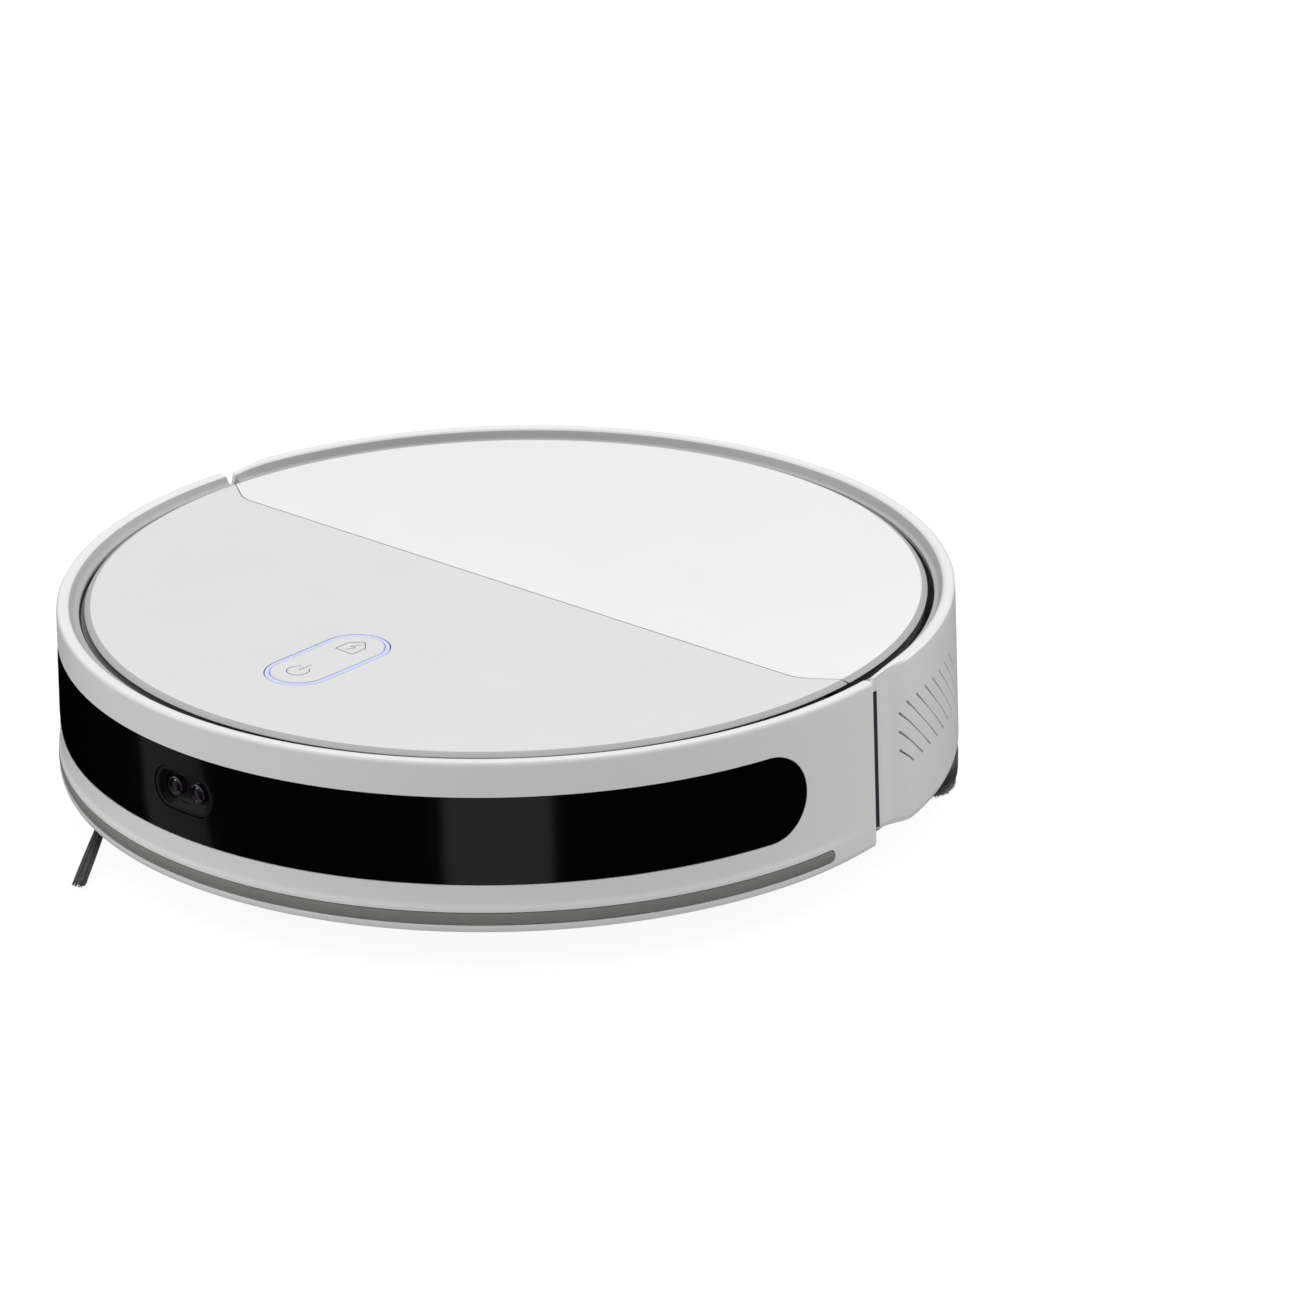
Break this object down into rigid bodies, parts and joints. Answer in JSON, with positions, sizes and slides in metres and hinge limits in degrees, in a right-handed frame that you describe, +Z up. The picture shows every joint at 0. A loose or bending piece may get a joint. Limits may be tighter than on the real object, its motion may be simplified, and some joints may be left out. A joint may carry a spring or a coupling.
{
  "type": "robot vacuum cleaner",
  "caption": "Low round robot vacuum: sprung front bumper with dark sensor window, rear lid over a lift-out dustbin, button, wheels, brushes and mop plate.",
  "frame": {"origin": "middle of the overall box, on the floor under the wheels", "axes": "+Z up; the vacuum drives towards -Y, and +X is its own left side"},
  "size_m": [0.327, 0.3348, 0.0772],
  "materials": {
    "shell_white": "moulded ABS, soft gloss",
    "deck_grey": "moulded ABS, satin pale grey",
    "lid_white": "moulded ABS, glossy white",
    "window_black": "infrared-clear black polycarbonate, polished",
    "strip_grey": "mid grey soft moulding",
    "base_dark": "textured black moulding",
    "inner_grey": "dark grey moulding",
    "tyre_black": "soft black rubber",
    "bristle_dark": "nylon bristles",
    "brush_rubber": "blue grey elastomer",
    "cloth_dark": "dark microfibre",
    "board_green": "circuit board",
    "battery_wrap": "shrink wrap",
    "steel": "plated steel",
    "bin_smoke": "smoked plastic",
    "filter_white": "pleated filter paper",
    "light_ring": "light pipe, pale blue",
    "motor_grey": "motor cans"
  },
  "bodies": {
    "chassis": {"base_pan": "base_dark", "rear_body_shell": "shell_white", "bin_bay": "inner_grey", "front_deck": "deck_grey", "button_light_ring": "light_ring", "control_board": "board_green", "main_board": "board_green", "radio_shield": "steel", "battery_pack": "battery_wrap", "battery_door": "base_dark", "battery_door_screw_left": "steel", "battery_door_screw_right": "steel", "brush_chamber": "inner_grey", "main_brush_motor": "motor_grey", "fan_housing": "inner_grey", "fan_motor": "motor_grey", "side_brush_motor": "motor_grey", "bump_switch_left": "base_dark", "bump_switch_right": "base_dark", "charge_contact_left": "steel", "charge_contact_right": "steel", "rear_ir_window": "window_black", "cliff_sensor_front_left": "window_black", "cliff_sensor_front_right": "window_black", "cliff_sensor_left": "window_black", "cliff_sensor_right": "window_black", "speaker": "motor_grey", "caster_socket": "inner_grey", "lid_hinge_pin_left": "steel", "lid_hinge_pin_right": "steel"},
    "bumper": {"bumper_shell": "shell_white", "ir_window": "window_black", "bump_strip": "strip_grey", "port_bezel": "window_black", "laser_lens_left": "window_black", "laser_lens_right": "window_black"},
    "lid": {"rear_lid": "lid_white"},
    "dustbin": {"bin_body": "bin_smoke", "bin_cover": "inner_grey", "filter_frame": "inner_grey", "filter_media": "filter_white", "bin_handle": "inner_grey"},
    "control_button": {"control_rocker": "deck_grey"},
    "fan_wheel": {"impeller": "motor_grey"},
    "suspension_left": {"wheel_arm_left": "inner_grey"},
    "suspension_right": {"wheel_arm_right": "inner_grey"},
    "wheel_left": {"tyre_left": "tyre_black", "wheel_hub_left": "strip_grey"},
    "wheel_right": {"tyre_right": "tyre_black", "wheel_hub_right": "strip_grey"},
    "caster_swivel": {"caster_fork": "base_dark"},
    "caster_roller": {"caster_wheel": "tyre_black"},
    "side_brush": {"side_brush_hub": "brush_rubber", "bristle_tuft_a": "bristle_dark", "bristle_tuft_b": "bristle_dark", "side_brush_screw": "steel"},
    "main_brush": {"main_brush_roller": "brush_rubber"},
    "guard": {"brush_guard": "base_dark"},
    "mop": {"mop_plate": "base_dark", "mop_cloth": "cloth_dark"}
  },
  "joints": [
    {"name": "bumper_press", "type": "slide", "parent": "chassis", "child": "bumper", "axis": [0, 1, 0], "range_m": [0, 0.003], "stiffness_N_per_m": 400},
    {"name": "lid_hinge", "type": "hinge", "parent": "chassis", "child": "lid", "pos_m": [0, 0.14331, 0.0714], "axis": [-1, 0, 0], "range_deg": [0, 60]},
    {"name": "bin_lift", "type": "slide", "parent": "chassis", "child": "dustbin", "axis": [0, 0, 1], "range_m": [0, 0.024]},
    {"name": "button_rock", "type": "hinge", "parent": "chassis", "child": "control_button", "pos_m": [0, -0.08668, 0.073], "axis": [1, 0, 0], "range_deg": [-1.5, 1.5], "stiffness_Nm_per_rad": 0.6},
    {"name": "impeller_spin", "type": "hinge", "parent": "chassis", "child": "fan_wheel", "pos_m": [0.099, 0.08732, 0.026], "axis": [0, 0, 1], "continuous": true},
    {"name": "suspension_left", "type": "hinge", "parent": "chassis", "child": "suspension_left", "pos_m": [0.09, -0.05169, 0.034], "axis": [-1, 0, 0], "range_deg": [0, 20], "stiffness_Nm_per_rad": 0.25, "springref_deg": 45.84},
    {"name": "suspension_right", "type": "hinge", "parent": "chassis", "child": "suspension_right", "pos_m": [-0.09, -0.05169, 0.034], "axis": [-1, 0, 0], "range_deg": [0, 20], "stiffness_Nm_per_rad": 0.25, "springref_deg": 45.84},
    {"name": "wheel_spin_left", "type": "hinge", "parent": "suspension_left", "child": "wheel_left", "pos_m": [0.106, 0.00432, 0.033], "axis": [1, 0, 0], "continuous": true},
    {"name": "wheel_spin_right", "type": "hinge", "parent": "suspension_right", "child": "wheel_right", "pos_m": [-0.106, 0.00432, 0.033], "axis": [1, 0, 0], "continuous": true},
    {"name": "caster_swivel", "type": "hinge", "parent": "chassis", "child": "caster_swivel", "pos_m": [0, -0.11568, 0.02], "axis": [0, 0, 1], "continuous": true},
    {"name": "caster_roll", "type": "hinge", "parent": "caster_swivel", "child": "caster_roller", "pos_m": [0, -0.11209, 0.009], "axis": [1, 0, 0], "continuous": true},
    {"name": "side_brush_spin", "type": "hinge", "parent": "chassis", "child": "side_brush", "pos_m": [-0.093, -0.10368, 0.008], "axis": [0, 0, 1], "continuous": true},
    {"name": "main_brush_spin", "type": "hinge", "parent": "chassis", "child": "main_brush", "pos_m": [0, 0.01431, 0.021], "axis": [1, 0, 0], "continuous": true},
    {"name": "guard_hinge", "type": "hinge", "parent": "chassis", "child": "guard", "pos_m": [0, 0.04192, 0.0109], "axis": [1, 0, 0], "range_deg": [0, 85]},
    {"name": "mop_slide", "type": "slide", "parent": "chassis", "child": "mop", "axis": [0, 1, 0], "range_m": [0, 0.03]}
  ],
  "couplings": [
    {"joint": "bin_lift", "follows": "lid_hinge", "m_per_rad": 0.0225}
  ]
}
